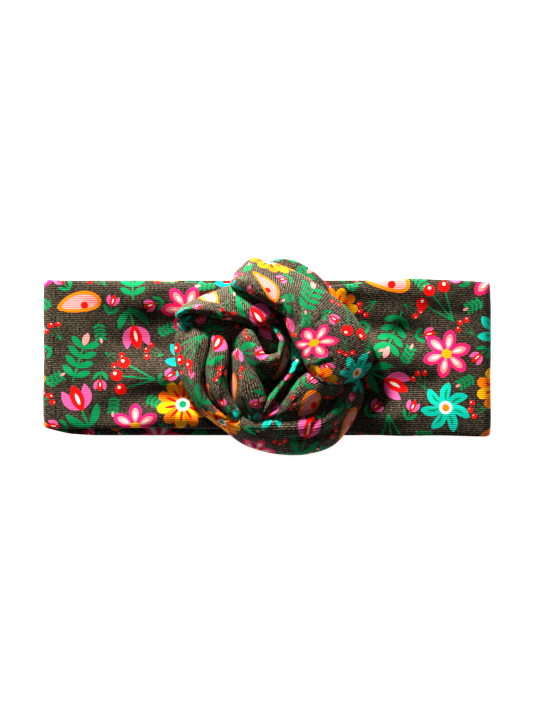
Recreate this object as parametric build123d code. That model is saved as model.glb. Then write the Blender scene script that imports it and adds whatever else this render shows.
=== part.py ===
"""Knotted headband: a loop of doubled stretch fabric, lying flat, with a rosette knot on its front.

The loop is one turned tube of fabric, so every stretch of it has an outer ply and an inner ply. Its ends
are sewn together at the centre back, and its front half is tied and tacked into a rosette. It lies folded
flat: the back half rests on the surface, the front half lies above it with the head opening between
them, and the tube turns back on itself in a soft fold at each end. Six fold lines parallel to Y let the
loop open into a six-sided ring. Two beside the knot and two behind it lie at FOLD_LINE_X on the faces
that look into the loop. The other two are the end folds, which turn about the middle of the tube's
thickness at the ends. The tube passes into the knot from the left and comes out again from under it on
the right, so the two stretches end hidden under the knot at KNOT_EXIT_X, a hair apart.

Frame: millimetres, origin under the middle of the object on the surface it lies on, +X along the band,
+Y across it towards its upper edge, +Z up out of the knot.
"""

import os

from build123d import *

# ---- driving dimensions: the band -------------------------------------------------------------------
FLAT_LENGTH = 246.0  # from end fold to end fold
BAND_WIDTH = 86.0
GATHERED_WIDTH = 82.0  # the knot draws the left half of the front in a little
PLY = 1.0  # thickness of one ply of fabric
PLY_GAP = 0.2  # air between the two plies of the tube
LOOP_GAP = 5.4  # head opening between the front half and the back half, lying flat
FOLD_LINE_X = 62.0  # the soft fold lines beside the knot and behind it
FOLD_CLEARANCE = 0.3  # each panel stops this far short of its fold line
BUTT_GAP = 0.05  # between the two ends of the tube at the centre back
EDGE_ROUNDING = 0.8  # where the fabric turns over at the band's long edges

BACK_MID_Y = -1.2  # the layers lie a millimetre or two out of line with each other
LEFT_FRONT_MID_Y = 0.5
FRONT_MID_Y = -1.0

# ---- driving dimensions: the knot -------------------------------------------------------------------
KNOT_X = 4.7  # the knot sits a little right of the middle
KNOT_RADIUS = 55.0
KNOT_REST_GAP = 0.3  # between the knot and the band under it
KNOT_EXIT_X = KNOT_X + 30.0  # under the knot, where the band's right half comes out of it
KNOT_EXIT_GAP = 0.4
UNDER_LAYER_THICKNESS = 2.2

# ---- driving dimensions: the thread -----------------------------------------------------------------
STITCH_LENGTH = 2.6
STITCH_PITCH = 4.2
THREAD_WIDTH = 0.5
THREAD_HEIGHT = 0.25
THREAD_LIFT = 0.02  # a stitch lies on its ply, not in it
TACK_RING_RADIUS = 25.0
TACK_LENGTH = 5.0
TACK_COUNT = 8

# ---- worked-out places ------------------------------------------------------------------------------
TUBE = 2 * PLY + PLY_GAP
FRONT_Z = TUBE + LOOP_GAP  # underside of the front half
BAND_TOP_Z = FRONT_Z + TUBE
FOLD_RADIUS = BAND_TOP_Z / 2  # outside radius of an end fold
FOLD_AXIS_X = FLAT_LENGTH / 2 - FOLD_RADIUS
PANEL_END_X = FOLD_LINE_X - FOLD_CLEARANCE
LINK_END_X = FOLD_LINE_X + FOLD_CLEARANCE
SEAM_LIFT = THREAD_LIFT + THREAD_HEIGHT / 2
BACK_SEAM_Z = TUBE + SEAM_LIFT  # thread on the upper face of the back half, inside the loop
FRONT_SEAM_Z = FRONT_Z - SEAM_LIFT  # thread on the lower face of the front half, inside the loop
KNOT_Z = BAND_TOP_Z + KNOT_REST_GAP

# Each wrap of the rosette is a soft rounded section turned about the knot's middle:
# name: (inner radius, outer radius, start angle, end angle, height above the band).
WRAPS = {
    "knot_outer_right_wrap": (27.2, KNOT_RADIUS, -33, 112, 28.0),
    "knot_upper_left_wrap": (27.2, KNOT_RADIUS + 1, 114, 165, 22.0),
    "knot_lower_wrap": (37.6, KNOT_RADIUS, 167, 325, 17.0),
    "knot_inner_left_fold": (24.2, 37.2, 172, 254, 21.0),
    "knot_inner_centre_fold": (12.8, 23.8, 170, 258, 24.0),
    "knot_ridge_fold": (12.8, 37.2, 261, 271, 23.0),
    "knot_right_lobe": (12.8, 37.2, 274, 325, 22.0),
    "knot_core_bundle": (12.8, 26.8, -33, 166, 13.0),
}
WRAP_ROUNDING = 4.0
HEART_RADIUS = 12.4
HEART_HEIGHT = 25.0


def save(node, shape):
    """Writes one node's solids to its own STEP file."""
    export_step(shape, f"parts/{node}.step")


def ply(x_from, x_to, width, middle_y, bottom_z, rounded_side):
    """One flat ply, with its two long edges rounded on the top (1) or the bottom (-1)."""
    middle = Pos((x_from + x_to) / 2, middle_y, bottom_z + PLY / 2)
    sheet = middle * Box(x_to - x_from, width, PLY)
    levels = sheet.edges().filter_by(Axis.X).group_by(Axis.Z)
    return fillet(levels[-1] if rounded_side > 0 else levels[0], EDGE_ROUNDING)


def stitch_row(x_from, x_to, y, z):
    """The tube's own lengthwise seam: a row of stitches along X."""
    count = int((x_to - x_from - STITCH_LENGTH) // STITCH_PITCH) + 1
    first = (x_from + x_to - (count - 1) * STITCH_PITCH) / 2
    stitch = Box(STITCH_LENGTH, THREAD_WIDTH, THREAD_HEIGHT)
    return Compound([Pos(first + i * STITCH_PITCH, y, z) * stitch for i in range(count)])


def back_panel(name, x_from, x_to):
    """A stretch of the back half: its outer ply rests on the surface."""
    save(f"{name}_outer_ply", ply(x_from, x_to, BAND_WIDTH, BACK_MID_Y, 0, -1))
    save(f"{name}_inner_ply", ply(x_from, x_to, BAND_WIDTH, BACK_MID_Y, PLY + PLY_GAP, 1))
    save(f"{name}_tube_seam", stitch_row(x_from, x_to, BACK_MID_Y, BACK_SEAM_Z))


def front_panel(name, x_from, x_to, width, middle_y):
    """A stretch of the front half: its outer ply faces up."""
    save(f"{name}_outer_ply", ply(x_from, x_to, width, middle_y, FRONT_Z + PLY + PLY_GAP, 1))
    save(f"{name}_inner_ply", ply(x_from, x_to, width, middle_y, FRONT_Z, -1))
    save(f"{name}_tube_seam", stitch_row(x_from, x_to, middle_y, FRONT_SEAM_Z))


def end_fold(name, side, width, middle_y):
    """Both plies where the tube turns back at one end, each a half sleeve about the fold's axis."""
    axis = Axis((side * FOLD_AXIS_X, 0, FOLD_RADIUS), (0, 1, 0))
    for layer, outside in (("outer", FOLD_RADIUS), ("inner", FOLD_RADIUS - PLY - PLY_GAP)):
        start = Plane(
            origin=(side * FOLD_AXIS_X, middle_y, FOLD_RADIUS - outside + PLY / 2),
            x_dir=(0, 1, 0),
            z_dir=(1, 0, 0),
        )
        sleeve = revolve(start * Rectangle(width, PLY), axis, revolution_arc=-180 * side)
        save(f"{name}_{layer}_ply", sleeve)


def centre_back_seam():
    """The cross seam that joins the tube's two ends, on the inside of the loop."""
    count = int((BAND_WIDTH / 2 - STITCH_PITCH) // STITCH_PITCH)
    stitch = Box(THREAD_WIDTH, STITCH_LENGTH, THREAD_HEIGHT)
    offsets = [side * (i + 1) * STITCH_PITCH for side in (-1, 1) for i in range(count)]
    return Compound([Pos(0, BACK_MID_Y + y, BACK_SEAM_Z) * stitch for y in offsets])


def wrap(inner_radius, outer_radius, from_angle, to_angle, height, bottom_z=KNOT_Z):
    """One wrap of the rosette, from its start angle round to its end angle."""
    top_z = KNOT_Z + height
    middle = Pos((inner_radius + outer_radius) / 2, (bottom_z + top_z) / 2)
    section = RectangleRounded(outer_radius - inner_radius, top_z - bottom_z, WRAP_ROUNDING)
    turned = revolve(Plane.XZ * middle * section, Axis.Z, revolution_arc=to_angle - from_angle)
    return Pos(KNOT_X, 0, 0) * Rot(0, 0, from_angle) * turned


def under_layer():
    """The flat layer of the knot that lies on the band and shows as a rim behind the outer wrap."""
    inner_radius, outer_radius, from_angle, to_angle, _ = WRAPS["knot_outer_right_wrap"]
    middle = Pos((inner_radius + outer_radius) / 2, KNOT_Z + UNDER_LAYER_THICKNESS / 2)
    section = Rectangle(outer_radius - inner_radius, UNDER_LAYER_THICKNESS)
    turned = revolve(Plane.XZ * middle * section, Axis.Z, revolution_arc=to_angle - from_angle)
    return Pos(KNOT_X, 0, 0) * Rot(0, 0, from_angle) * turned


def heart_curl():
    """The curl in the middle of the rosette."""
    post = Pos(KNOT_X, 0, KNOT_Z + HEART_HEIGHT / 2) * Cylinder(HEART_RADIUS, HEART_HEIGHT)
    rims = post.edges().filter_by(GeomType.CIRCLE)
    return fillet(rims, WRAP_ROUNDING)


def knot():
    """The rosette: its wraps, the layer under its outer wrap, and its heart."""
    over_layer_z = KNOT_Z + UNDER_LAYER_THICKNESS + BUTT_GAP
    for name, sizes in WRAPS.items():
        bottom_z = over_layer_z if name == "knot_outer_right_wrap" else KNOT_Z
        save(name, wrap(*sizes, bottom_z=bottom_z))
    save("knot_under_layer", under_layer())
    save("knot_heart_curl", heart_curl())


def knot_tacks():
    """Hand stitches inside the loop that hold the rosette to the band."""
    tack = Box(TACK_LENGTH, THREAD_WIDTH, THREAD_HEIGHT)
    step = 360 / TACK_COUNT
    places = [Rot(0, 0, (i + 0.5) * step) * Pos(TACK_RING_RADIUS, 0, 0) for i in range(TACK_COUNT)]
    return Compound([Pos(KNOT_X, FRONT_MID_Y, FRONT_SEAM_Z) * place * tack for place in places])


def main():
    os.makedirs("parts", exist_ok=True)
    back_panel("centre_back_left", -PANEL_END_X, -BUTT_GAP / 2)
    back_panel("centre_back_right", BUTT_GAP / 2, PANEL_END_X)
    save("centre_back_seam", centre_back_seam())
    back_panel("left_back", -FOLD_AXIS_X, -LINK_END_X)
    back_panel("right_back", LINK_END_X, FOLD_AXIS_X)
    front_panel("left_front", -FOLD_AXIS_X, -LINK_END_X, GATHERED_WIDTH, LEFT_FRONT_MID_Y)
    front_panel("right_front", LINK_END_X, FOLD_AXIS_X, BAND_WIDTH, FRONT_MID_Y)
    front_panel("front_centre", -PANEL_END_X, KNOT_EXIT_X - KNOT_EXIT_GAP / 2, BAND_WIDTH, FRONT_MID_Y)
    front_panel("right_knot_exit", KNOT_EXIT_X + KNOT_EXIT_GAP / 2, PANEL_END_X, BAND_WIDTH, FRONT_MID_Y)
    end_fold("left_end_fold", -1, GATHERED_WIDTH, LEFT_FRONT_MID_Y)
    end_fold("right_end_fold", 1, BAND_WIDTH, FRONT_MID_Y)
    knot()
    save("knot_tacks", knot_tacks())


main()
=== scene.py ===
"""Looks of the knotted headband: printed stretch cloth, a rosette knot, seams, studio and camera.

Shapes are worked out in millimetres in the frame's own axes and written to the meshes in metres. Every
piece of cloth is a grid of points with cloth coordinates (u along the tube, v across it), which carry the
weave and the print. The print is a repeat of plain flowers, leaves and berries: each ink is stored on the
points as the distance outside its edge, and the material cuts it at zero, so its edges stay sharp.
"""
import math

import bpy
import numpy as np
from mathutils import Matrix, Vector


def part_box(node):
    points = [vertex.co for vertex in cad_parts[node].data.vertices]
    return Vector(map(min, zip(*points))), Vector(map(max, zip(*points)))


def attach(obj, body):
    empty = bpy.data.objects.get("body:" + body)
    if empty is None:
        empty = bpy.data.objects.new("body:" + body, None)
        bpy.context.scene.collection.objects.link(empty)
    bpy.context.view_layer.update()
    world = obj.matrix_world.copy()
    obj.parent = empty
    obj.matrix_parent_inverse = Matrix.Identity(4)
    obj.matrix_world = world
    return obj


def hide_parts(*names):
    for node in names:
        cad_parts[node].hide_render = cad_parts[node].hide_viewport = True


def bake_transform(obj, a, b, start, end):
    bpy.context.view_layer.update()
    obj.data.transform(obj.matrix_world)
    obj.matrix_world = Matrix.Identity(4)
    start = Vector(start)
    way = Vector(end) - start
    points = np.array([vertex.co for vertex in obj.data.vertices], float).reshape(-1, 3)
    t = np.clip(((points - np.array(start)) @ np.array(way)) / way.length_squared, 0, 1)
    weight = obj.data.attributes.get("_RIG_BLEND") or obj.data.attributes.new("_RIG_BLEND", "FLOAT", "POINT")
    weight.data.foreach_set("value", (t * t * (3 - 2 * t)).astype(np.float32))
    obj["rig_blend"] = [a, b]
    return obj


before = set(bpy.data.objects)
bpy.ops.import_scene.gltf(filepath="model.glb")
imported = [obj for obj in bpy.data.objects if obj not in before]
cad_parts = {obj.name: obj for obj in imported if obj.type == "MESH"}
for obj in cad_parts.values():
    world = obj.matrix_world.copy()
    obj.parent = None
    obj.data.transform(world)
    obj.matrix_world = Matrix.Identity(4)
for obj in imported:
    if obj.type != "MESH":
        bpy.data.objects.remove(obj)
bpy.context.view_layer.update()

MM = 0.001


# ---- the frame, in millimetres -----------------------------------------------------------------------
def node_box(node):
    """A CAD node's lowest and highest corner, in mm."""
    low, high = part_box(node)
    return np.array(low) / MM, np.array(high) / MM


FRONT_LOW, FRONT_HIGH = node_box("front_centre_outer_ply")
LEFT_LOW, LEFT_HIGH = node_box("left_front_outer_ply")
BACK_LOW, BACK_HIGH = node_box("left_back_inner_ply")
HEART_LOW, HEART_HIGH = node_box("knot_heart_curl")

BAND_TOP = FRONT_HIGH[2]
FRONT_BOTTOM = node_box("front_centre_inner_ply")[0][2]
BAND_WIDTH = FRONT_HIGH[1] - FRONT_LOW[1]
TUBE = BAND_TOP - FRONT_BOTTOM  # thickness of the pressed tube
BACK_TOP = BACK_HIGH[2]
END_X = node_box("right_end_fold_outer_ply")[1][0]  # outermost point of an end fold
FOLD_RADIUS = BAND_TOP / 2
FOLD_CENTRE_X = END_X - FOLD_RADIUS
MID_RADIUS = FOLD_RADIUS - TUBE / 2  # the end fold's radius at the middle of the tube
KNOT_CENTRE = (HEART_LOW + HEART_HIGH) / 2
KNOT_X, KNOT_Y = KNOT_CENTRE[0], KNOT_CENTRE[1]
FOLD_LINE_X = 62.0  # fold lines of the two halves, beside and behind the knot

INKS = {
    "red": (0.95, 0.008, 0.006),
    "orange": (0.98, 0.26, 0.002),
    "yellow": (1.0, 0.49, 0.0),
    "green": (0.0, 0.31, 0.115),
    "turquoise": (0.0, 0.60, 0.48),
    "magenta": (0.95, 0.03, 0.22),
    "pink": (0.88, 0.16, 0.42),
    "blush": (0.94, 0.37, 0.36),
    "white": (0.97, 0.94, 0.88),
}
FAR = 9.0  # mm; "nowhere near this ink"


# ---- curves and grids --------------------------------------------------------------------------------
def catmull(points, count, closed=False):
    """A smooth curve through the points along axis 0, as count samples."""
    points = np.asarray(points, float)
    size = len(points)
    spans = size if closed else size - 1
    t = np.linspace(0, spans, count, endpoint=not closed)
    i = np.minimum(t.astype(int), spans - 1)
    f = (t - i).reshape((-1,) + (1,) * (points.ndim - 1))
    if closed:
        p0, p1, p2, p3 = (points[(i + k) % size] for k in (-1, 0, 1, 2))
    else:
        padded = np.concatenate([[2 * points[0] - points[1]], points, [2 * points[-1] - points[-2]]])
        p0, p1, p2, p3 = (padded[i + k] for k in (0, 1, 2, 3))
    return 0.5 * (
        2 * p1 + (p2 - p0) * f + (2 * p0 - 5 * p1 + 4 * p2 - p3) * f**2 + (3 * p1 - p0 - 3 * p2 + p3) * f**3
    )


def lengths_along(grid, axis, closed=False):
    """Mean distance of each row or column of a grid of points from the first, and the whole length."""
    step = np.diff(grid, axis=axis)
    if closed:
        last = np.take(grid, [0], axis=axis) - np.take(grid, [-1], axis=axis)
        step = np.concatenate([step, last], axis=axis)
    mean = np.linalg.norm(step, axis=2).mean(axis=1 - axis)
    total = np.concatenate([[0], np.cumsum(mean)])
    return (total[:-1], total[-1]) if closed else (total, total[-1])


def smoothstep(x):
    x = np.clip(x, 0, 1)
    return x * x * (3 - 2 * x)


def turned(x, y, degrees):
    """Coordinates seen from axes turned anticlockwise."""
    cos, sin = math.cos(math.radians(degrees)), math.sin(math.radians(degrees))
    return x * cos + y * sin, y * cos - x * sin


def swell(u, v, scale, seed, waves=7):
    """A smooth random surface between about -1 and 1, with bumps about `scale` mm across."""
    random = np.random.RandomState(seed)
    total = 0
    for _ in range(waves):
        angle, phase = random.uniform(0, math.tau, 2)
        stretch = random.uniform(0.6, 1.5) * math.pi / scale
        total = total + np.sin((u * math.cos(angle) + v * math.sin(angle)) * stretch + phase)
    return total / math.sqrt(waves)


def grid_normals(points, closed):
    """Unit normals of a grid of points; the grid's second axis is closed or open."""
    along = np.gradient(points, axis=0)
    if closed:
        across = (np.roll(points, -1, axis=1) - np.roll(points, 1, axis=1)) / 2
    else:
        across = np.gradient(points, axis=1)
    normal = np.cross(along, across)
    return normal / np.maximum(np.linalg.norm(normal, axis=2, keepdims=True), 1e-9)


class Cloth:
    """A grid of points in mm with cloth coordinates and, for every ink, the distance outside its edge."""

    def __init__(self, points, u, v, closed):
        self.points = points
        self.u = u
        self.v = v
        self.closed = closed
        self.inks = {ink: np.full(points.shape[:2], FAR) for ink in INKS}

    def push(self, amount):
        """Moves every point out along its normal."""
        self.points = self.points + grid_normals(self.points, self.closed) * amount[..., None]

    def stretch(self, low, high):
        """The rows from low to high along the tube, on either side of the middle."""
        side = np.sign(self.u[len(self.u) // 2, 0])
        place = self.u[:, 0] * side
        inside = (place >= low - GRID / 2) & (place <= high + GRID / 2)
        first, last = np.flatnonzero(inside)[[0, -1]]
        rows = slice(first, last + 1)
        part = Cloth(self.points[rows], self.u[rows], self.v[rows], self.closed)
        part.inks = {ink: distance[rows] for ink, distance in self.inks.items()}
        return part

    def girth(self):
        """Length of cloth round the closed section."""
        return self.v[0, -1] - self.v[0, 0] + GRID


def grid_faces(rows, columns, closed):
    """Point numbers of a grid, and its four-sided faces; a closed grid's last column joins its first."""
    index = np.arange(rows * columns).reshape(rows, columns)
    wrapped = np.concatenate([index, index[:, :1]], axis=1) if closed else index
    corners = (wrapped[:-1, :-1], wrapped[1:, :-1], wrapped[1:, 1:], wrapped[:-1, 1:])
    return index, np.stack(corners, axis=-1).reshape(-1, 4)


def add_object(name, data):
    """A new object in the scene."""
    obj = bpy.data.objects.new(name, data)
    bpy.context.collection.objects.link(obj)
    return obj


def mesh_object(name, points, faces, scale=MM):
    """A mesh object from points in any arrangement and lists of point numbers."""
    mesh = bpy.data.meshes.new(name)
    mesh.from_pydata((np.reshape(points, (-1, 3)) * scale).tolist(), [], faces)
    return add_object(name, mesh)


def smooth_with(obj, material):
    """Gives a mesh smooth shading and its material."""
    obj.data.polygons.foreach_set("use_smooth", np.ones(len(obj.data.polygons), bool))
    obj.data.materials.append(material)


def cloth_object(name, cloth, material, round_ends=False, weave_turn=0):
    """The mesh object of a piece of cloth; its ribs are turned by weave_turn degrees from the u axis."""
    index, quads = grid_faces(*cloth.points.shape[:2], cloth.closed)
    faces = quads.tolist()
    if round_ends:
        faces.append(index[0].tolist())
        faces.append(index[-1, ::-1].tolist())
    obj = mesh_object(name, cloth.points, faces)
    attributes = obj.data.attributes
    for ink, distance in cloth.inks.items():
        attributes.new("ink_" + ink, "FLOAT", "POINT").data.foreach_set("value", distance.ravel())
    along, aside = turned(cloth.u, cloth.v, weave_turn)
    flat = np.stack([along, aside, 0 * along], axis=-1) * MM
    attributes.new("cloth", "FLOAT_VECTOR", "POINT").data.foreach_set("vector", flat.ravel())
    smooth_with(obj, material)
    obj.data.validate()
    return obj


# ---- the band ----------------------------------------------------------------------------------------
GRID = 0.6  # mm between points of visible cloth
PUFF = 0.55  # mm that the tube's plies stand apart more than pressed flat
EDGE_POWER = 30  # how suddenly the pressed tube turns over at its long edges
OUTLINE_POINTS = 400  # points of one ply's outline before it is spaced evenly
BODY_POWER = 0.35  # how close to its long edges the tube keeps its full height
EDGE_LIFT = 0.35  # share of a fold's height that reaches the long edges
BACK_BLEND = (4, 34)  # mm past an end fold where the back layer's edges take over, and over how long
RELIEF_FADE = 12  # mm before an end fold over which the folds fade
VALLEY_FADE = (20, 18)  # mm before an end piece where valleys begin to fade, and over how long
LYING_HEIGHT = 0.4  # mm above the floor that the back layer's underside lies
END_PIECE_X = 106.0  # where the end fold pieces begin

# The long edges wander a little: (place along the tube, offset), both in mm.
LEFT_TOP_EDGE = [(-140, 0.0), (-122, 0.3), (-112, 0.0), (-90, -0.4), (-60, -0.6), (-30, -1.6), (0, -2.0)]
LEFT_LOW_EDGE = [(-140, -2.0), (-122, 0.6), (-112, 0.1), (-90, 0.5), (-60, 0.7), (-30, 0.2), (0, 0.0)]
RIGHT_TOP_EDGE = [
    (0, -3.0), (30, -3.4), (45, -2.6), (58, -0.6), (75, 0.3), (100, -0.3), (122, -1.2), (140, 0),
]
RIGHT_LOW_EDGE = [(0, 0.0), (45, 1.6), (58, 0.4), (70, -0.2), (95, 0.0), (122, -0.6), (140, 0)]

# Waves over the whole band: height in mm, stretch along and across, size in mm, random seed.
WAVES = [(0.8, 1, 1.8, 40, 3), (0.4, 0.6, 1.6, 13, 5), (0.10, 0.5, 1, 4.0, 8)]

# Folds that the knot pulls into the band: start x, y, heading in degrees, length, width, height, all in mm.
PULL_FOLDS = [
    (-38, 37, 178, 40, 3.6, 2.4),
    (-42, 30, 176, 70, 7.0, 2.6),
    (-40, 8, 179, 62, 11.0, -4.4),
    (-46, -12, 183, 70, 7.0, 2.6),
    (-42, -24, 182, 62, 5.0, -2.4),
    (-40, -35, 181, 70, 4.5, 2.8),
    (-70, 26, 120, 20, 5.0, 1.4),
    (-118, 4, 0, 36, 9.0, -2.2),
    (44, 38, -2, 60, 4.5, 3.0),
    (46, 20, -14, 40, 8.0, -4.6),
    (62, 2, -12, 56, 7.0, 3.4),
    (78, 12, -20, 44, 7.0, -3.6),
    (50, -18, -2, 60, 6.0, -3.2),
    (46, -32, 0, 80, 6.0, 3.2),
    (86, 34, 4, 40, 6.0, 2.4),
    (96, -14, -8, 30, 5.0, -2.4),
]


FADE_RATE = 1.6  # how fast a fold sinks away; 0.2 of its height is left at one length
FOLD_SWAY = 0.3  # how far a fold's line wanders, as a share of its width
FOLD_SWAY_RUN = 9.0  # mm of run in which that wander turns by one radian


def fold_lines(x, y, lines, lead=12.0):
    """Height of a set of folds that widen and fade along their run.

    lead is how far before its start each fold begins to rise.
    """
    total = np.zeros_like(x)
    for x0, y0, heading, length, width, height in lines:
        along, across = turned(x - x0, y - y0, heading)
        across = across + FOLD_SWAY * width * np.sin(along / FOLD_SWAY_RUN)
        ahead = np.clip(along, 0, None) / length
        spread = width * (1 + ahead)
        fade = smoothstep((along + lead) / lead) * np.exp(-(ahead**1.5) * FADE_RATE)
        total += height * fade * np.exp(-((across / spread) ** 2))
    return total


def smooth_table(table, at):
    """Smooth interpolation of a table of (place, value)."""
    x, y = np.array(table, float).T
    slope = np.gradient(y, x)
    i = np.clip(np.searchsorted(x, at) - 1, 0, len(x) - 2)
    span = x[i + 1] - x[i]
    f = np.clip((at - x[i]) / span, 0, 1)
    return (
        (2 * f**3 - 3 * f**2 + 1) * y[i]
        + (f**3 - 2 * f**2 + f) * span * slope[i]
        + (3 * f**2 - 2 * f**3) * y[i + 1]
        + (f**3 - f**2) * span * slope[i + 1]
    )


def tube_section(width, half_thickness):
    """The pressed tube's closed outline, evenly spaced from the outer ply's low edge round.

    Returns (across, out) as shares of the half width and half thickness, and the cloth's v there.
    """
    across = np.sin(np.linspace(-math.pi / 2, math.pi / 2, OUTLINE_POINTS))
    out = (1 - np.abs(across) ** EDGE_POWER) ** 0.5
    outline = np.concatenate([
        np.stack([across, out], axis=1),
        np.stack([across[::-1], -out[::-1]], axis=1)[1:-1],
    ]) * (width / 2, half_thickness)
    step = np.linalg.norm(np.roll(outline, -1, axis=0) - outline, axis=1)
    place = np.concatenate([[0], np.cumsum(step)])
    closed = np.concatenate([outline, outline[:1]])
    count = int(place[-1] / GRID)
    at = np.linspace(0, place[-1], count, endpoint=False)
    section = np.stack([np.interp(at, place, closed[:, k]) for k in (0, 1)], axis=1)
    return section / (width / 2, half_thickness), at - width / 2


def loop_path(run):
    """Middle of the tube round the loop: x, z and the outward direction's x, z.

    run is the distance from the middle of the front, positive to the right, negative to the left.
    """
    side = np.sign(run)
    far = np.abs(run)
    turn = np.clip((far - FOLD_CENTRE_X) / MID_RADIUS, 0, math.pi)
    beyond = np.clip(far - FOLD_CENTRE_X - math.pi * MID_RADIUS, 0, None)
    straight = np.minimum(far, FOLD_CENTRE_X) - beyond
    x = side * (straight + MID_RADIUS * np.sin(turn))
    z = FOLD_RADIUS + MID_RADIUS * np.cos(turn)
    return x, z, side * np.sin(turn), np.cos(turn)


def band_cloth(side, far_from, far_to):
    """A stretch of the tube round the loop, as a grid: rows along it, columns round its section.

    far_from and far_to are distances round the loop from the middle of the front; side is -1 or 1.
    """
    width = BAND_WIDTH / 2
    section, round_place = tube_section(BAND_WIDTH, TUBE / 2)
    run = side * np.linspace(far_from, far_to, int(abs(far_to - far_from) / GRID) + 1)
    run = np.sort(run)
    left = side < 0
    front_low, front_high = (LEFT_LOW, LEFT_HIGH) if left else (FRONT_LOW, FRONT_HIGH)
    top_table, low_table = (LEFT_TOP_EDGE, LEFT_LOW_EDGE) if left else (RIGHT_TOP_EDGE, RIGHT_LOW_EDGE)
    wander = np.clip(run, top_table[0][0], top_table[-1][0])
    begin, over = BACK_BLEND
    back = smoothstep((np.abs(run) - FOLD_CENTRE_X - begin) / over)
    top = (1 - back) * front_high[1] + back * BACK_HIGH[1] + smooth_table(top_table, wander) * (1 - back)
    low = (1 - back) * front_low[1] + back * BACK_LOW[1] + smooth_table(low_table, wander) * (1 - back)
    u, across = np.meshgrid(run, section[:, 0], indexing="ij")
    out = np.broadcast_to(section[:, 1], u.shape)
    y = (top + low)[:, None] / 2 + (top - low)[:, None] / 2 * across
    x, z, out_x, out_z = (np.broadcast_to(part[:, None], u.shape) for part in loop_path(run))
    body = (1 - across**2) ** BODY_POWER  # nothing puffs the pressed edges
    lift, puff = band_relief(u, y, body, out)
    height = out * (TUBE / 2) + lift + puff * (out > 0) - puff * (out < 0) * 0.5
    seam = np.exp(-((across * width / SEAM_WIDTH) ** 2)) * (out < 0)
    height = height + SEAM_DEPTH * seam
    points = np.stack([x + out_x * height, y, np.maximum(z + out_z * height, LYING_HEIGHT)], axis=-1)
    return Cloth(points, u, np.broadcast_to(round_place, u.shape), closed=True)


def band_relief(u, y, body, out):
    """How far the tube's middle is lifted by folds, and how far its plies puff apart."""
    front = 1 - smoothstep((np.abs(u) - FOLD_CENTRE_X + RELIEF_FADE) / RELIEF_FADE)
    before, over = VALLEY_FADE
    straight = 1 - smoothstep((np.abs(u) - END_PIECE_X + before) / over)
    broad, small, fine = (height * swell(u * x, y * z, size, seed) for height, x, z, size, seed in WAVES)
    waves = broad + small
    creases = fine * smoothstep(swell(u, y, 22, seed=9))
    folds = fold_lines(u, y, PULL_FOLDS)
    lift = front * (folds + waves + creases) + (1 - front) * 0.25 * waves
    # Valleys stop short of the end folds, where they would tear as the fold opens.
    lift = np.maximum(lift, 0) + np.minimum(lift, 0) * straight
    puff = PUFF * body * (1 + 0.35 * swell(u, y, 30, seed=12))
    return lift * (EDGE_LIFT + (1 - EDGE_LIFT) * body), puff


# ---- the knot ----------------------------------------------------------------------------------------
FOOT = 0.3  # mm above the band: where the knot's hidden undersides end
END_TAPER = 5.0  # mm over which the end of a fold rounds off

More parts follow.
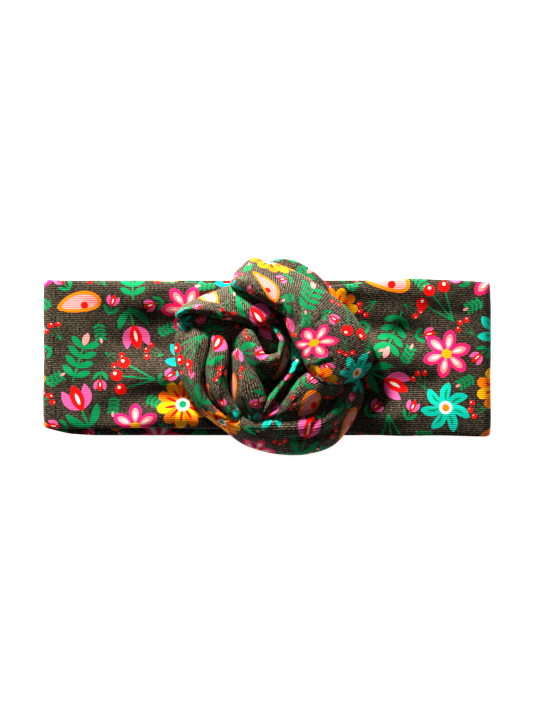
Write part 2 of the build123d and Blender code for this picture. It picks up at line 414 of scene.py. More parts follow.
# Each fold of the knot is a strip of gathered tube. A line says, at one station along it, in mm from the
# knot's middle: inner edge x, y; outer edge x, y; where its crest is between them; crest and outer height.
KNOT_FOLDS = {
    "knot_core_bundle": [
        (-53, 13, -55, 20, 0.5, 9, 4),
        (-42, 9, -42, 25, 0.5, 12, 5),
        (-26, 7, -26, 28, 0.5, 13, 5),
        (-9, 3, -8, 27, 0.5, 12, 5),
        (8, -3, 12, 19, 0.5, 11, 5),
        (14, -12, 24, 4, 0.5, 9, 4),
    ],
    "knot_lower_wrap": [
        (-41, 18, -53, 20, 0.4, 9, 4),
        (-36, 9, -55.5, 8, 0.35, 15, 4),
        (-38, -6, -54, -7, 0.38, 17, 4),
        (-39, -18, -48.5, -20, 0.42, 17, 4),
        (-33, -28, -40, -32, 0.45, 16, 4),
        (-22, -33, -29, -40.5, 0.42, 16, 4),
        (-10, -34, -16, -49.5, 0.36, 17, 4),
        (4, -33, 1, -54, 0.32, 18, 4),
        (18, -32, 18, -54, 0.30, 18, 4),
        (30, -27, 34, -47.5, 0.30, 17, 4),
        (37, -18, 46.5, -29, 0.35, 14, 4),
        (41, -10, 50, -14, 0.5, 9, 4),
    ],
    "knot_under_layer": [
        (-8, 40, -6, 51, 0.5, 6, 3),
        (2, 40, 3, 53.2, 0.5, 7, 4),
        (10, 38, 13, 51.2, 0.5, 7, 4),
        (19, 33, 23, 44.6, 0.5, 7, 4),
        (26, 26, 31, 36.0, 0.5, 6, 3),
    ],
    "knot_upper_left_wrap": [
        (-52, 20, -56, 19.5, 0.5, 12, 5),
        (-50, 22.5, -54, 25, 0.45, 16, 5),
        (-43.5, 23.5, -45, 30.5, 0.35, 19.5, 5),
        (-33, 21.5, -35, 34.8, 0.26, 21.5, 6),
        (-20, 19.5, -24, 38.5, 0.22, 22, 6),
        (-8, 15.5, -9, 40, 0.20, 21.5, 6),
        (1, 18, 5, 40, 0.24, 18, 6),
    ],
    "knot_inner_left_fold": [
        (-31, 14, -38, 12, 0.5, 12, 4),
        (-26, 6, -38.5, 4, 0.52, 18, 5),
        (-25, -3, -41, -6, 0.5, 20.5, 5),
        (-26.5, -12, -41, -16, 0.5, 21, 5),
        (-25, -21, -36, -25, 0.5, 20, 5),
        (-20, -29, -28, -33.5, 0.5, 17.5, 5),
        (-16, -35, -21, -38, 0.5, 13, 4),
    ],
    "knot_inner_centre_fold": [
        (-19, 6, -25, 3, 0.5, 15, 5),
        (-14, -4, -25.5, -3, 0.52, 21, 6),
        (-9, -12, -26, -12, 0.55, 23.5, 6),
        (-5.5, -20, -26, -20, 0.58, 23, 6),
        (-5, -27, -23, -28, 0.55, 21, 6),
        (-7, -33, -18, -35, 0.5, 17, 5),
        (-10, -37, -14, -38.5, 0.5, 12, 4),
    ],
    "knot_heart_curl": [
        (-13, 17, -21, 18.5, 0.45, 14, 5),
        (-11, 11.5, -24, 12, 0.30, 20, 6),
        (-8, 5, -24.2, 3, 0.26, 23, 6),
        (-6, 1, -18, -8, 0.26, 25, 7),
        (-2.5, 0.5, -9, -14.5, 0.28, 26.5, 7),
        (1, 2, 3, -12, 0.30, 27, 7),
        (1.5, 5, 7.5, -4, 0.32, 26, 7),
        (1.5, 9, 9, 5, 0.34, 23, 7),
        (-1, 13, 6.5, 13, 0.4, 19, 6),
        (-5, 16, 0, 19, 0.45, 14, 5),
    ],
    "knot_ridge_fold": [
        (-13, -36, -9.5, -38.5, 0.5, 14, 5),
        (-8, -29, -3, -32, 0.5, 19, 6),
        (-3, -21.5, 2.5, -24, 0.5, 21.5, 7),
        (1.5, -15, 8, -16, 0.5, 22.5, 7),
        (6, -9, 13, -9, 0.5, 22, 7),
        (9, -2, 16, -1, 0.5, 17, 6),
    ],
    "knot_right_lobe": [
        (-9.5, -35, -9, -38.2, 0.5, 13.5, 5),
        (-3, -29, 0, -38.5, 0.45, 18, 6),
        (3.5, -22.5, 9.5, -37.5, 0.4, 21, 7),
        (9, -16, 19.5, -36, 0.38, 23, 7),
        (14, -11, 28.5, -32, 0.38, 24, 7),
        (20, -7, 36, -26, 0.4, 23.5, 7),
        (26, -3, 42, -20, 0.45, 21, 7),
    ],
    "knot_outer_right_wrap": [
        (-25, 37.3, -25, 40.5, 0.5, 17, 9),
        (-20, 35.7, -21.5, 46.5, 0.42, 22, 9),
        (-14, 33.4, -13.2, 53.3, 0.34, 26, 8),
        (-7.5, 30, -5, 51.6, 0.26, 28, 8),
        (-1, 26.8, 6.5, 48.2, 0.22, 28.5, 7),
        (4.5, 22.5, 18, 42.4, 0.18, 28.8, 7),
        (7.5, 15, 30.5, 33.4, 0.15, 28.8, 7),
        (10.5, 7.2, 41.2, 24, 0.13, 28.5, 7),
        (14.3, -0.7, 49, 12.8, 0.12, 28, 7),
        (17.8, -7.5, 53.8, 1.5, 0.13, 27, 7),
        (22.5, -13.5, 51.5, -8, 0.18, 25.5, 7),
        (28, -18, 45, -15.3, 0.28, 22, 7),
    ],
}


def section_net(key):
    """Control points of one station's closed outline: foot, inner wall, crest, slope, outer edge, foot."""
    inner_x, inner_y, outer_x, outer_y, at, crest, outer = key
    fall = crest - outer
    rest = 1 - at
    profile = [
        (0.12, FOOT),
        (0.04, 0.45 * crest),
        (0.03 * at, 0.84 * crest),
        (0.36 * at, 0.975 * crest),
        (at, crest),
        (at + 0.34 * rest, crest - 0.20 * fall),
        (at + 0.70 * rest, crest - 0.52 * fall),
        (0.960, outer + 0.20 * fall),
        (1.0, 0.50 * outer),
        (0.90, FOOT),
        (0.50, FOOT),
    ]
    across_x, across_y = outer_x - inner_x, outer_y - inner_y
    return [(inner_x + across_x * a, inner_y + across_y * a, height) for a, height in profile]


CREST_POINT = 4  # place of the crest in section_net
STATION_SAMPLES = 24  # samples per station of a fold before it is spaced evenly
OUTLINE_SAMPLES = 30  # samples per control point of its outline

# Creases of the gathered cloth: how many, their heading from the fold's run and its spread in degrees,
# length and depth in mm.
CREASES = {
    "knot_core_bundle": (12, 0, 14, 26, 1.5),
    "knot_lower_wrap": (16, 8, 22, 26, 1.3),
    "knot_upper_left_wrap": (8, -20, 25, 20, 1.0),
    "knot_inner_left_fold": (9, 0, 14, 20, 1.5),
    "knot_inner_centre_fold": (8, 0, 16, 18, 1.1),
    "knot_heart_curl": (10, 10, 25, 14, 1.1),
    "knot_right_lobe": (8, -10, 20, 24, 1.3),
    "knot_outer_right_wrap": (12, -55, 30, 16, 1.1),
}


def crease(cloth, count, heading, spread, length, depth, seed):
    """Presses seeded random creases and ridges into the upper side of a fold."""
    random = np.random.RandomState(seed)
    total_u = cloth.u[-1, 0]
    lines = []
    for k in range(count):
        place = (k + random.uniform(0.1, 0.9)) / count * total_u
        turn = heading + random.uniform(-spread, spread) + 180 * (random.uniform() < 0.5)
        own = random.uniform(0.6, 1.3)
        height = depth * own * (-1 if k % 3 else 0.8)
        lines.append((place, random.uniform(-3, 11), turn, length * own, random.uniform(1.1, 2.1), height))
    cloth.push(fold_lines(cloth.u, cloth.v, lines, lead=5.0))


def knot_cloth(keys):
    """One fold of the knot as an even grid: rows along it, columns round its closed section."""
    net = np.array([section_net(key) for key in keys])
    net = catmull(net, STATION_SAMPLES * len(keys)).transpose(1, 0, 2)
    net = catmull(net, OUTLINE_SAMPLES * len(net), closed=True).transpose(1, 0, 2)
    along, total_along = lengths_along(net, axis=0)
    around, total_around = lengths_along(net, axis=1, closed=True)
    rows = np.interp(np.arange(0, total_along, GRID), along, np.arange(len(along)))
    places = np.arange(0, total_around, GRID)
    columns = np.interp(places, np.append(around, total_around), np.arange(len(around) + 1))
    crest = np.interp(OUTLINE_SAMPLES * CREST_POINT, np.arange(len(around)), around)
    points = sample_grid(net, rows, columns)
    if np.median(grid_normals(points, True)[:, np.argmin(np.abs(places - crest)), 2]) < 0:
        points = points[::-1]
    u, v = np.meshgrid(np.arange(len(rows)) * GRID, places - crest, indexing="ij")
    return Cloth(points, u, v, closed=True)


def sample_grid(net, rows, columns):
    """Points of a grid at fractional rows and columns; its columns wrap round."""
    low = np.clip(np.floor(rows).astype(int), 0, len(net) - 2)
    f = (rows - low)[:, None, None]
    by_row = net[low] * (1 - f) + net[low + 1] * f
    low = np.floor(columns).astype(int) % net.shape[1]
    f = (columns - np.floor(columns))[None, :, None]
    return by_row[:, low] * (1 - f) + by_row[:, (low + 1) % net.shape[1]] * f


def round_off_ends(cloth):
    """Draws the two ends of a fold in to small rounded tips."""
    rows = len(cloth.points)
    step = cloth.u[1, 0] - cloth.u[0, 0]
    from_end = np.minimum(np.arange(rows), np.arange(rows)[::-1]) * step / END_TAPER
    shrink = np.sqrt(np.clip(1 - (1 - np.clip(from_end, 0, 1)) ** 2, 0.003, 1))[:, None, None]
    middle = cloth.points.mean(axis=1, keepdims=True)
    cloth.points = middle + (cloth.points - middle) * shrink


def place_on_band(cloth):
    """From the knot's own coordinates to the frame's."""
    cloth.points = cloth.points + np.array([KNOT_X, KNOT_Y, BAND_TOP])


# ---- wrinkles by cloth simulation --------------------------------------------------------------------
SIM_SCALE = 0.01  # the solver works best on cloth about a metre wide: 100 mm becomes 1 unit
SIM_STEP = 3  # every third row and column of a fold is simulated
SIM_FRAMES = 20
SIM_QUALITY = 6  # solver steps per frame
CLOTH_MASS = 0.15  # this and the next four are in the solver's own units
STRETCH_STIFFNESS = 20
SHEAR_STIFFNESS = 8
BENDING_STIFFNESS = 0.02
STRETCH_DAMPING = 12
PRESSURE = 0.5  # keeps each fold puffed
SLACK_ALONG = 1.16  # the gathered cloth is longer and wider than the fold that it is pressed into
SLACK_ACROSS = 1.10
SIM_CAP = 2.6  # mm that a point may move
PINNED_HEIGHT = 4.0  # mm above the band below which the cloth is held


def crumple(cloth, floor_z):
    """Simulates a coarse copy of a fold, cut with slack, and moves the fold's points by the result."""
    rows = np.unique(np.append(np.arange(0, len(cloth.points), SIM_STEP), len(cloth.points) - 1))
    columns = np.arange(0, cloth.points.shape[1], SIM_STEP)
    start = cloth.points[np.ix_(rows, columns)]
    shape = start.shape[:2]
    turn = (columns / cloth.points.shape[1] * math.tau)[None, :]
    radius = cloth.girth() * SLACK_ACROSS / math.tau
    along = (cloth.u[rows, 0] * SLACK_ALONG)[:, None]
    parts = (along, radius * np.cos(turn), radius * np.sin(turn))
    slack = np.stack(np.broadcast_arrays(*parts), axis=-1)
    obj = simulated_object(start, slack, pinned=start[..., 2] < floor_z + PINNED_HEIGHT)
    moved = run_simulation(obj).reshape(*shape, 3) / SIM_SCALE - start
    bpy.data.objects.remove(obj)
    length = np.linalg.norm(moved, axis=2, keepdims=True)
    moved *= SIM_CAP * np.tanh(length / SIM_CAP) / np.maximum(length, 1e-6)
    all_rows = np.interp(np.arange(len(cloth.points)), rows, np.arange(len(rows)))
    cloth.points = cloth.points + sample_grid(moved, all_rows, np.arange(cloth.points.shape[1]) / SIM_STEP)


def simulated_object(start, slack, pinned):
    """A closed tube mesh with Blender's Cloth on it, whose cloth is cut to the slack shape."""
    _, quads = grid_faces(*start.shape[:2], closed=True)
    obj = mesh_object("simulated", start, quads.tolist(), SIM_SCALE)
    obj.shape_key_add(name="start")
    cut = obj.shape_key_add(name="cut")
    cut.data.foreach_set("co", (slack.reshape(-1, 3) * SIM_SCALE).ravel())
    held = obj.vertex_groups.new(name="held")
    ends = np.zeros_like(pinned)
    ends[[0, -1]] = True
    held.add(np.flatnonzero((pinned | ends).ravel()).tolist(), 1.0, "REPLACE")
    modifier = obj.modifiers.new("Cloth", "CLOTH")
    settings = modifier.settings
    settings.quality = SIM_QUALITY
    settings.mass = CLOTH_MASS
    settings.tension_stiffness = settings.compression_stiffness = STRETCH_STIFFNESS
    settings.shear_stiffness = SHEAR_STIFFNESS
    settings.bending_stiffness = BENDING_STIFFNESS
    settings.tension_damping = settings.compression_damping = STRETCH_DAMPING
    settings.use_pressure = True
    settings.uniform_pressure_force = PRESSURE
    settings.effector_weights.gravity = 0
    settings.vertex_group_mass = "held"
    settings.rest_shape_key = cut
    modifier.collision_settings.use_collision = False
    modifier.collision_settings.use_self_collision = False
    modifier.point_cache.frame_end = SIM_FRAMES
    return obj


def run_simulation(obj):
    """Steps the scene and returns the simulated points."""
    for frame_number in range(1, SIM_FRAMES + 1):
        bpy.context.scene.frame_set(frame_number)
    result = obj.evaluated_get(bpy.context.evaluated_depsgraph_get()).data
    points = np.empty(len(result.vertices) * 3, np.float32)
    result.vertices.foreach_get("co", points)
    bpy.context.scene.frame_set(1)
    return points.astype(float)


# ---- seams -------------------------------------------------------------------------------------------
STITCH_PITCH = 3.2  # mm from one stitch to the next
STITCH_LENGTH = 2.3
STITCH_RADIUS = 0.24
STITCH_SLANT = 24.0  # degrees, to one side and the other in turn
THREAD_SIDES = 6
STITCH_RISE = (-0.25, 0.12, 0.20, 0.12, -0.25)  # mm above the cloth along one stitch
SEAM_DEPTH = 0.5  # mm that the sewn seam draws the ply in
SEAM_WIDTH = 1.1
TACKS = 16  # hand stitches that hold the rosette to the band
TACK_RADIUS = 25.0
TACK_LENGTH = 4.0


def on_surface(cloth, u, v):
    """Points and normals of a closed cloth at cloth coordinates u, v."""
    row = np.interp(u, cloth.u[:, 0], np.arange(len(cloth.u)))
    column = (v - cloth.v[0, 0]) / (cloth.v[0, 1] - cloth.v[0, 0]) % cloth.v.shape[1]
    i = np.minimum(row.astype(int), len(cloth.u) - 2)
    j = column.astype(int) % cloth.v.shape[1]
    after = (j + 1) % cloth.v.shape[1]
    f, g = (row - i)[..., None], (column - np.floor(column))[..., None]
    both = np.concatenate([cloth.points, grid_normals(cloth.points, True)], axis=2)
    here = both[i, j] * (1 - f) + both[i + 1, j] * f
    beside = both[i, after] * (1 - f) + both[i + 1, after] * f
    value = here * (1 - g) + beside * g
    return value[..., :3], value[..., 3:]


def stitches(name, cloth, u, v, turn, length, material):
    """Raised stitches on a cloth: one at each u, v, its run turned by `turn` degrees from the u axis."""
    step = np.linspace(-0.5, 0.5, len(STITCH_RISE)) * length
    turn = np.radians(turn)
    path_u = u[:, None] + step * np.cos(turn)[:, None]
    path_v = v[:, None] + step * np.sin(turn)[:, None]
    point, normal = on_surface(cloth, path_u, path_v)
    point = point + normal * np.array(STITCH_RISE)[None, :, None]
    along = np.gradient(point, axis=1)
    aside = np.cross(normal, along)
    aside /= np.maximum(np.linalg.norm(aside, axis=2, keepdims=True), 1e-9)
    ring = np.arange(THREAD_SIDES) / THREAD_SIDES * math.tau
    round_thread = aside[:, :, None] * np.cos(ring)[:, None] + normal[:, :, None] * np.sin(ring)[:, None]
    tube = point[:, :, None] + round_thread * STITCH_RADIUS
    index = np.arange(tube.size // 3).reshape(tube.shape[:3])
    beside = np.roll(index, -1, axis=2)
    corners = (index[:, :-1], beside[:, :-1], beside[:, 1:], index[:, 1:])
    quads = np.stack(corners, axis=-1).reshape(-1, 4)
    caps = index[:, 0, ::-1].tolist() + index[:, -1].tolist()
    obj = mesh_object(name, tube, quads.tolist() + caps)
    smooth_with(obj, material)
    return obj


def tube_seam(name, cloth, material):
    """The lengthwise seam down the middle of the inner ply, in slanted stitches."""
    first, last = cloth.u[0, 0] + STITCH_PITCH, cloth.u[-1, 0] - STITCH_PITCH
    u = np.arange(first, last, STITCH_PITCH)
    slant = np.where(np.arange(len(u)) % 2, STITCH_SLANT, -STITCH_SLANT)
    v = np.full(len(u), cloth.girth() / 2)
    return stitches(name, cloth, u, v, slant, STITCH_LENGTH, material)


def thread_material():
    """Black twisted sewing thread."""
    s = Shader("sewing_thread")
    place = s.node("TexCoord").outputs["Object"]
    twist = s.noise(s.scaled(place, 2500, 1800, 2500), 1.0, 1.0)
    colour = s.mix(s.ramp(twist, 0.35, 0.7), (0.006, 0.006, 0.007, 1), (0.07, 0.065, 0.06, 1))
    return s.finish(colour, s.ramp(twist, 0.3, 0.7, 0.45, 0.7), twist, 0.08, 0.2)


# ---- the print ---------------------------------------------------------------------------------------
class Stamp:
    """A motif's own coordinates on the nearby points of a cloth; 1 is half the motif's height."""

    def __init__(self, cloth, near, x, y, size):
        self.cloth, self.near, self.x, self.y, self.size = cloth, near, x, y, size

    def ink(self, name, distance):
        """Prints a shape over what is there. distance is negative inside the shape."""
        edge = distance * self.size
        for other, field in self.cloth.inks.items():
            flat = field.reshape(-1)
            if other == name:
                flat[self.near] = np.minimum(flat[self.near], edge)
            else:
                flat[self.near] = np.maximum(flat[self.near], -edge)

    def disc(self, x, y, radius):
        return np.hypot(self.x - x, self.y - y) - radius

    def beside_line(self, x0, y0, x1, y1, bow):
        """The points seen from a line bent sideways by bow.

        Returns their place along it (0 to 1 on it), that place held on the line, their distance to the side
        and the line's length.
        """
        length = math.hypot(x1 - x0, y1 - y0)
        dx, dy = (x1 - x0) / length, (y1 - y0) / length
        t = ((self.x - x0) * dx + (self.y - y0) * dy) / length
        inside = np.clip(t, 0, 1)
        side = -(self.x - x0) * dy + (self.y - y0) * dx - bow * 4 * inside * (1 - inside)
        return t, inside, side, length

    def petal(self, x0, y0, x1, y1, width, peak=0.5, bow=0.0, sharp=1.7):
        """A leaf shape from one tip to the other; peak is where it is widest, sharp how pointed it is."""
        t, inside, side, length = self.beside_line(x0, y0, x1, y1, bow)
        a, b = sharp * peak, sharp * (1 - peak)
        half = width / 2 * inside**a * (1 - inside) ** b / (peak**a * (1 - peak) ** b)
        beyond = np.maximum(np.maximum(-t, t - 1), 0) * length
        return np.where(beyond > 0, np.hypot(beyond, side), np.abs(side) - half)

    def stroke(self, x0, y0, x1, y1, width, bow=0.0):
        """A line of even width, bent sideways by bow."""
        t, inside, side, length = self.beside_line(x0, y0, x1, y1, bow)
        return np.hypot(side, (t - inside) * length) - width / 2


def circle(count, start=0.0):
    """Directions evenly round a circle, as (cos, sin) pairs."""
    turns = [start + math.tau * k / count for k in range(count)]
    return [(math.cos(turn), math.sin(turn)) for turn in turns]


def daisy(s):
    """A round yellow flower with red streaks and a white and green eye."""
    for k, (x, y) in enumerate(circle(10)):
        s.ink("orange" if k % 2 else "yellow", s.petal(0, 0, x, y, 0.46, 0.68, 0.0, 1.2))
    for x, y in circle(10):
        s.ink("red", s.petal(0.2 * x, 0.2 * y, 0.74 * x, 0.74 * y, 0.11))
    s.ink("white", s.disc(0, 0, 0.27))
    s.ink("green", s.disc(0, 0, 0.15))


def star_bloom(s):
    """Six magenta petals with pale hearts."""
    for x, y in circle(6, 0.5):
        s.ink("magenta", s.petal(0, 0, x, y, 0.52, 0.6))
        s.ink("blush", s.petal(0.15 * x, 0.15 * y, 0.82 * x, 0.82 * y, 0.28, 0.6))
        s.ink("white", s.petal(0.3 * x, 0.3 * y, 0.66 * x, 0.66 * y, 0.10))
    s.ink("yellow", s.disc(0, 0, 0.2))


def pinwheel(s):
    """Bent turquoise petals round a white and orange eye."""
    for x, y in circle(7):
        s.ink("turquoise", s.petal(0, 0, x, y, 0.40, 0.6, 0.10))
        s.ink("green", s.petal(0.25 * x, 0.25 * y, 0.8 * x, 0.8 * y, 0.09, 0.5, 0.07))
    s.ink("white", s.disc(0, 0, 0.26))
    s.ink("orange", s.disc(0, 0, 0.15))


def tulip(s):
    """A three-petalled red and pink cup on a stem with two leaves."""
    s.ink("green", s.stroke(0, -1.0, 0, 0.0, 0.09))
    for side in (-1, 1):
        s.ink("green", s.petal(0, -0.95, side * 0.66, -0.1, 0.32, 0.55, side * -0.08))
        s.ink("pink", s.petal(0, -0.15, side * 0.48, 0.85, 0.44, 0.5, side * -0.12))
    s.ink("red", s.petal(0, -0.2, 0, 0.95, 0.52, 0.5))
    s.ink("white", s.petal(0, 0.05, 0, 0.6, 0.14))


def leafy_stem(s):
    """A stem with pairs of green leaves and a blush tip."""
    s.ink("green", s.stroke(0, -1.0, 0, 0.7, 0.07))
    for k in range(4):
        for side in (-1, 1):
            s.ink("green", s.petal(0, -0.8 + 0.4 * k, side * 0.55, -0.45 + 0.4 * k, 0.26, 0.55))
    s.ink("blush", s.petal(0, 0.5, 0, 1.05, 0.26))


def berries(s):
    """Three red berries with white glints on a forked green stem."""
    for x, y in ((-0.6, 0.5), (0.0, 0.75), (0.6, 0.5)):
        s.ink("green", s.stroke(0, -0.9, x, y, 0.07))
        s.ink("red", s.disc(x, y, 0.25))
        s.ink("white", s.disc(x + 0.08, y + 0.08, 0.07))


def round_drop(s):
    """A blush drop with an orange rim line and a red dot."""
    s.ink("orange", s.petal(0, -0.95, 0, 0.95, 0.92, 0.6, 0.10, 1.1))
    s.ink("blush", s.petal(0, -0.75, 0, 0.80, 0.64, 0.6, 0.10, 1.1))
    s.ink("red", s.disc(0.08, 0.22, 0.16))


BLOOMS = (daisy, tulip, pinwheel, leafy_stem, star_bloom, round_drop, berries)
FILLERS = (leafy_stem, berries, tulip)


MOTIF_REACH = 1.9  # half heights from its middle that hold the whole motif


def print_motif(cloth, draw, u, v, turn, size):
    """Prints a motif at cloth coordinates u, v, turned anticlockwise by `turn` degrees."""
    reach = MOTIF_REACH * size
    all_u, all_v = cloth.u.reshape(-1), cloth.v.reshape(-1)
    near = np.flatnonzero((np.abs(all_u - u) < reach) & (np.abs(all_v - v) < reach))
    if not len(near):
        return
    x, y = turned((all_u[near] - u) / size, (all_v[near] - v) / size, turn)
    draw(Stamp(cloth, near, x, y, size))


# ---- where the motifs lie ----------------------------------------------------------------------------
SHIFT = 0.08  # how far a motif strays, as a share of the pitch
BLOOM_SIZE = (0.42, 0.50)  # smallest and largest half height, as shares of the pitch
FILLER_SIZE = 0.21
GAPS = ((0.375, 0.5), (0.625, 0.0))  # where the repeat leaves gaps, in pitches from each bloom


def repeat_print(cloth, pitch, seed):
    """Covers a cloth with a plain half-drop repeat of motifs, turned, shifted and sized at random."""
    random = np.random.RandomState(seed)
    low_u, low_v = cloth.u.min(), cloth.v.min()
    columns, rows = int(np.ptp(cloth.u) / pitch) + 2, int(np.ptp(cloth.v) / pitch) + 2
    for i in range(columns):
        for j in range(rows):
            u = low_u + (i + random.uniform(-SHIFT, SHIFT)) * pitch
            v = low_v + (j + 0.5 * (i % 2) + random.uniform(-SHIFT, SHIFT)) * pitch
            size = pitch * random.uniform(*BLOOM_SIZE)
            print_motif(cloth, BLOOMS[(3 * i + 2 * j) % len(BLOOMS)], u, v, random.uniform(0, 360), size)
            for k, (along, across) in enumerate(GAPS):
                filler = FILLERS[(i + j + k) % len(FILLERS)]
                place = (u + along * pitch, v + across * pitch)
                print_motif(cloth, filler, *place, random.uniform(0, 360), FILLER_SIZE * pitch)


# ---- materials ---------------------------------------------------------------------------------------
RIB = 1.1  # mm from one rib of the cloth to the next
YARN = 0.42  # mm along a rib from stitch to stitch
CHARCOAL = (0.004, 0.003, 0.002, 1)
HEATHER = (0.50, 0.41, 0.30, 1)
EDGE_BLEED = 0.10  # mm that each ink runs over its edge


class Shader:
    """Shorthand for building one material's node tree."""

    def __init__(self, name):
        self.material = bpy.data.materials.new(name)
        self.material.use_nodes = True
        self.tree = self.material.node_tree
        self.surface = self.tree.nodes["Principled BSDF"]

    def node(self, kind, inputs=(), **settings):
        """A node; inputs maps socket names or numbers to values or other nodes' outputs."""
        node = self.tree.nodes.new("ShaderNode" + kind)
        for key, value in settings.items():
            setattr(node, key, value)
        for key, value in dict(inputs).items():
            self.plug(value, node.inputs[key])
        return node

    def plug(self, value, socket):
        if isinstance(value, bpy.types.NodeSocket):
            self.tree.links.new(value, socket)
        else:
            socket.default_value = value

    def math(self, operation, *values):
        return self.node("Math", enumerate(values), operation=operation).outputs[0]

    def ramp(self, value, start, end, low=0.0, high=1.0):
        """Value stretched from start..end to low..high and held there."""
        return self.node("MapRange", {0: value, 1: start, 2: end, 3: low, 4: high}).outputs[0]

    def mix(self, share, first, second):
        return self.node("Mix", {0: share, 6: first, 7: second}, data_type="RGBA").outputs[2]

    def attribute(self, name):
        return self.node("Attribute", attribute_name=name)

    def noise(self, place, scale, detail=2.0):
        return self.node("TexNoise", {"Vector": place, "Scale": scale, "Detail": detail}).outputs[0]

    def scaled(self, place, x, y, z=1.0):
        return self.node("Mapping", {"Vector": place, "Scale": (x, y, z)}).outputs[0]

    def finish(self, colour, roughness, height, bump_mm, sheen):
        """Plugs the surface together; height runs from 0 to 1 and stands bump_mm high."""
        bump = self.node("Bump", {"Strength": 1.0, "Distance": bump_mm * MM, "Height": height})
        values = {
            "Normal": bump.outputs[0],
            "Base Color": colour,
            "Roughness": roughness,
            "Specular IOR Level": 0.25,
            "Sheen Weight": sheen,
            "Sheen Roughness": 0.45,
        }
        for socket, value in values.items():
            self.plug(value, self.surface.inputs[socket])
        return self.material


def rib_height(s, place):
    """Rounded ribs along the cloth's first axis, each a row of slanted stitches; 0 to 1."""
    axes = s.node("SeparateXYZ", {0: place})
    sway = s.ramp(s.noise(place, 90.0), 0.0, 1.0, -0.35, 0.35)
    across = s.math("MULTIPLY_ADD", axes.outputs[1], math.tau / (RIB * MM), sway)
    rib = s.ramp(s.math("SINE", across), -1.0, 1.0)
    along = s.math("MULTIPLY", axes.outputs[0], math.tau / (YARN * MM))
    slant = s.math("ADD", along, across)
    stitch = s.ramp(s.math("SINE", slant), -1.0, 1.0)
    return s.math("MULTIPLY_ADD", stitch, 0.3, s.math("MULTIPLY", rib, 0.7)), rib


def cloth_material(name, contrast, gap_depth, bump_mm):
    """Printed rib-knit cloth on a charcoal ground.

    contrast is how bright the ground's ribs are and gap_depth how dark the gaps between them, 0 to 1.
    """
    s = Shader(name)
    place = s.attribute("cloth").outputs["Vector"]
    height, rib = rib_height(s, place)
    fleck = s.noise(s.scaled(place, 900, 2600), 1.0, 1.0)
    cloudy = s.noise(place, 60.0, 3.0)
    light = s.math("MULTIPLY", s.ramp(fleck, 0.38, 0.64), s.ramp(rib, 0.15, 0.95, 0.25, 1.0))
    light = s.math("MULTIPLY", light, s.ramp(cloudy, 0.3, 0.7, 0.6 * contrast, contrast))
    colour = s.mix(light, CHARCOAL, HEATHER)
    for ink, shade in INKS.items():
        inside = s.ramp(s.attribute("ink_" + ink).outputs["Fac"], EDGE_BLEED, -0.02)
        colour = s.mix(inside, colour, (*shade, 1))
    gap = s.math("MULTIPLY", s.ramp(rib, 0.0, 0.5, gap_depth, 0.0), s.ramp(fleck, 0.35, 0.6, 1.0, 0.3))
    colour = s.mix(gap, colour, CHARCOAL)
    roughness = s.ramp(rib, 0.0, 1.0, 0.92, 0.68)
    return s.finish(colour, roughness, height, bump_mm, 0.08)


# ---- studio ------------------------------------------------------------------------------------------
def area_light(name, place, size, power, colour):
    light = bpy.data.lights.new(name, "AREA")
    light.shape = "DISK"
    light.size = size
    light.energy = power
    light.color = colour
    obj = add_object(name, light)
    obj.location = place
    obj.rotation_euler = (Vector(LIGHT_AIM) - Vector(place)).to_track_quat("-Z", "Y").to_euler()


WORLD_LIGHT = 0.06  # the room's light; the room itself looks white
LIGHT_AIM = (0, 0, 0.01)
# Each lamp's name, place and size in metres, power in watts and colour.
LAMPS = [
    ("key", (-0.34, 0.84, 0.42), 0.20, 22.5, (1.0, 0.965, 0.90)),
    ("top", (-0.1, 0.1, 1.6), 1.2, 2.0, (1, 1, 1)),
]


def studio():
    scene = bpy.context.scene
    world = bpy.data.worlds.new("studio")
    scene.world = world
    world.use_nodes = True
    nodes, links = world.node_tree.nodes, world.node_tree.links
    room = nodes["Background"].inputs
    room["Color"].default_value = (1, 1, 1, 1)
    seen = nodes.new("ShaderNodeLightPath")
    strength = nodes.new("ShaderNodeMath")
    strength.operation = "MAXIMUM"
    strength.inputs[1].default_value = WORLD_LIGHT
    links.new(seen.outputs["Is Camera Ray"], strength.inputs[0])
    links.new(strength.outputs[0], room["Strength"])
    for lamp in LAMPS:
        area_light(*lamp)
    scene.view_settings.view_transform = "Standard"
    scene.view_settings.look = "High Contrast"


FLOOR_SIZE = 20.0
FLOOR_GREY = 0.93
FLOOR_GLOW = 0.6  # lifts the floor to white without more light on the cloth


def floor():
    half = FLOOR_SIZE / 2
    corners = [(-half, -half, 0), (half, -half, 0), (half, half, 0), (-half, half, 0)]
    obj = mesh_object("floor", corners, [(0, 1, 2, 3)], scale=1)
    material = bpy.data.materials.new("floor")
    material.use_nodes = True
    sockets = material.node_tree.nodes["Principled BSDF"].inputs
    sockets["Base Color"].default_value = (FLOOR_GREY, FLOOR_GREY, FLOOR_GREY, 1)
    sockets["Roughness"].default_value = 0.85
    sockets["Emission Color"].default_value = (1, 1, 1, 1)
    sockets["Emission Strength"].default_value = FLOOR_GLOW
    obj.data.materials.append(material)


FRAME_WIDTH = 0.2930  # metres of the band's plane that the picture is wide
CAMERA_HEIGHT = 1.1
CAMERA_X = -0.0002
SENSOR = 36.0
CLIP_END = 20


def camera():
    data = bpy.data.cameras.new("camera")
    data.sensor_fit = "HORIZONTAL"
    data.sensor_width = SENSOR
    data.lens = SENSOR * CAMERA_HEIGHT / FRAME_WIDTH
    data.clip_end = CLIP_END
    obj = add_object("camera", data)
    obj.location = (CAMERA_X, 0.0, CAMERA_HEIGHT + BAND_TOP * MM)
    bpy.context.scene.camera = obj


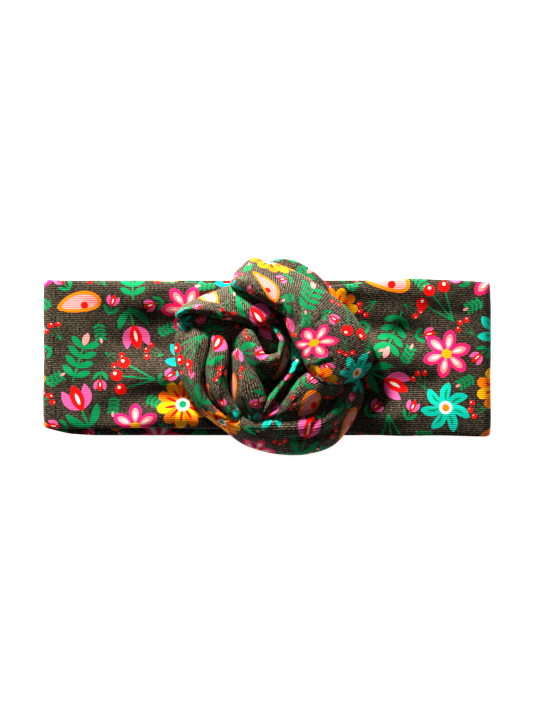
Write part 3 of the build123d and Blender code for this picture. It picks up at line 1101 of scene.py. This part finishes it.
# ---- the pieces --------------------------------------------------------------------------------------
KNOT_SPLIT_X = 10.0  # hidden under the knot, where the band's left and right halves meet
BLEND_HALF = 11.0  # mm each side of a fold line over which the cloth bends
BAND_PITCH = 29.0  # mm from one motif of the print to the next
KNOT_PITCH = 23.0  # smaller, as the knot's cloth is gathered
WEAVE_TURNS = {"knot_outer_right_wrap": 98, "knot_upper_left_wrap": 80}  # degrees from the fold's run
FOLD_MARGIN = 0.4  # mm above and below the gap of an end fold that stay with the straight plies


def band(material, thread):
    """The tube round the loop: six pieces, each bending across one joint, with their seams."""
    middle_front = (FRONT_BOTTOM + BAND_TOP) / 2 * MM
    middle_back = BACK_TOP / 2 * MM
    to_back = 2 * FOLD_CENTRE_X + math.pi * MID_RADIUS
    fold_end = to_back - END_PIECE_X
    fold_from, fold_to = (BACK_TOP + FOLD_MARGIN) * MM, (FRONT_BOTTOM - FOLD_MARGIN) * MM
    for word, side, knot_panel in (("left", -1, "front_centre"), ("right", 1, "right_knot_exit")):
        whole = printed_band(side, to_back)
        outer, inner = (side * (FOLD_LINE_X + offset) * MM for offset in (BLEND_HALF, -BLEND_HALF))
        fold_x = side * FOLD_CENTRE_X * MM
        front = whole.stretch(-KNOT_SPLIT_X - 1, END_PIECE_X)
        for piece in band_part(f"{word}_front", front, material, thread):
            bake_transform(piece, f"{word}_front", knot_panel, (outer, 0, middle_front), (inner, 0, middle_front))
            replace_part(piece, f"{word}_front", knot_panel)
        end = whole.stretch(END_PIECE_X, fold_end)
        for piece in band_part(f"{word}_end", end, material, thread):
            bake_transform(piece, f"{word}_back", f"{word}_front", (fold_x, 0, fold_from), (fold_x, 0, fold_to))
            replace_part(piece, f"{word}_end_fold")
        back = whole.stretch(fold_end, to_back)
        for piece in band_part(f"{word}_back", back, material, thread):
            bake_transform(piece, f"{word}_back", "back_centre", (outer, 0, middle_back), (inner, 0, middle_back))
            replace_part(piece, f"{word}_back", f"centre_back_{word}")
        if side > 0:
            centre_back_seam(whole, to_back, thread)
        tacks(f"knot_tacks_{word}", whole, side, thread)


def printed_band(side, to_back):
    """One half of the whole tube with its print."""
    whole = band_cloth(side, KNOT_SPLIT_X * side, to_back)
    repeat_print(whole, BAND_PITCH, seed=20 + side)
    return whole


def band_part(name, cloth, material, thread):
    """A stretch of the tube and the seam on it."""
    piece = cloth_object(f"{name}_cloth", cloth, material)
    cloth.girth() * MM
    return piece, tube_seam(f"{name}_seam_stitches", cloth, thread)


def centre_back_seam(cloth, to_back, thread):
    """Stitches over the joint where the two ends of the tube meet, all the way round."""
    v = np.arange(cloth.v[0, 0], cloth.v[0, -1], STITCH_PITCH)
    u = np.full(len(v), to_back - STITCH_RADIUS)
    seam = stitches("centre_back_stitches", cloth, u, v, np.full(len(v), 90.0), STITCH_LENGTH, thread)
    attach(seam, "back_centre")
    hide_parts("centre_back_seam")


def tacks(name, cloth, side, thread):
    """Hand stitches on the inner ply, in a ring under the knot about the middle of the band's width."""
    turn = (np.arange(TACKS) + 0.5) / TACKS * math.tau
    x = KNOT_X + TACK_RADIUS * np.cos(turn)
    y = TACK_RADIUS * np.sin(turn)
    own = (x - KNOT_SPLIT_X) * side > 0
    v = cloth.girth() / 2 - y[own]
    seam = stitches(name, cloth, x[own], v, np.degrees(-turn[own]) + 90, TACK_LENGTH, thread)
    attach(seam, "front_centre")
    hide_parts("knot_tacks")


def replace_part(piece, *panels):
    """Hides the plies behind a cloth piece, or the seams behind a row of stitches."""
    stitched = piece.name.endswith("stitches")
    layers = ("tube_seam",) if stitched else ("outer_ply", "inner_ply")
    nodes = [f"{panel}_{layer}" for panel in panels for layer in layers]
    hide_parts(*(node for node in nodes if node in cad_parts))


def knot(material):
    for name, keys in KNOT_FOLDS.items():
        cloth = knot_cloth(keys)
        if name in CREASES:
            crease(cloth, *CREASES[name], seed=len(name) + 3)
        round_off_ends(cloth)
        place_on_band(cloth)
        crumple(cloth, BAND_TOP)
        repeat_print(cloth, KNOT_PITCH, seed=len(name))
        piece = cloth_object(name + "_cloth", cloth, material, True, WEAVE_TURNS.get(name, 0))
        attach(piece, "front_centre")
        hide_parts(name)


def main():
    camera()
    studio()
    floor()
    band(cloth_material("printed_jersey", contrast=0.62, gap_depth=0.12, bump_mm=0.13), thread_material())
    knot(cloth_material("printed_jersey_gathered", contrast=0.95, gap_depth=0.38, bump_mm=0.22))


main()
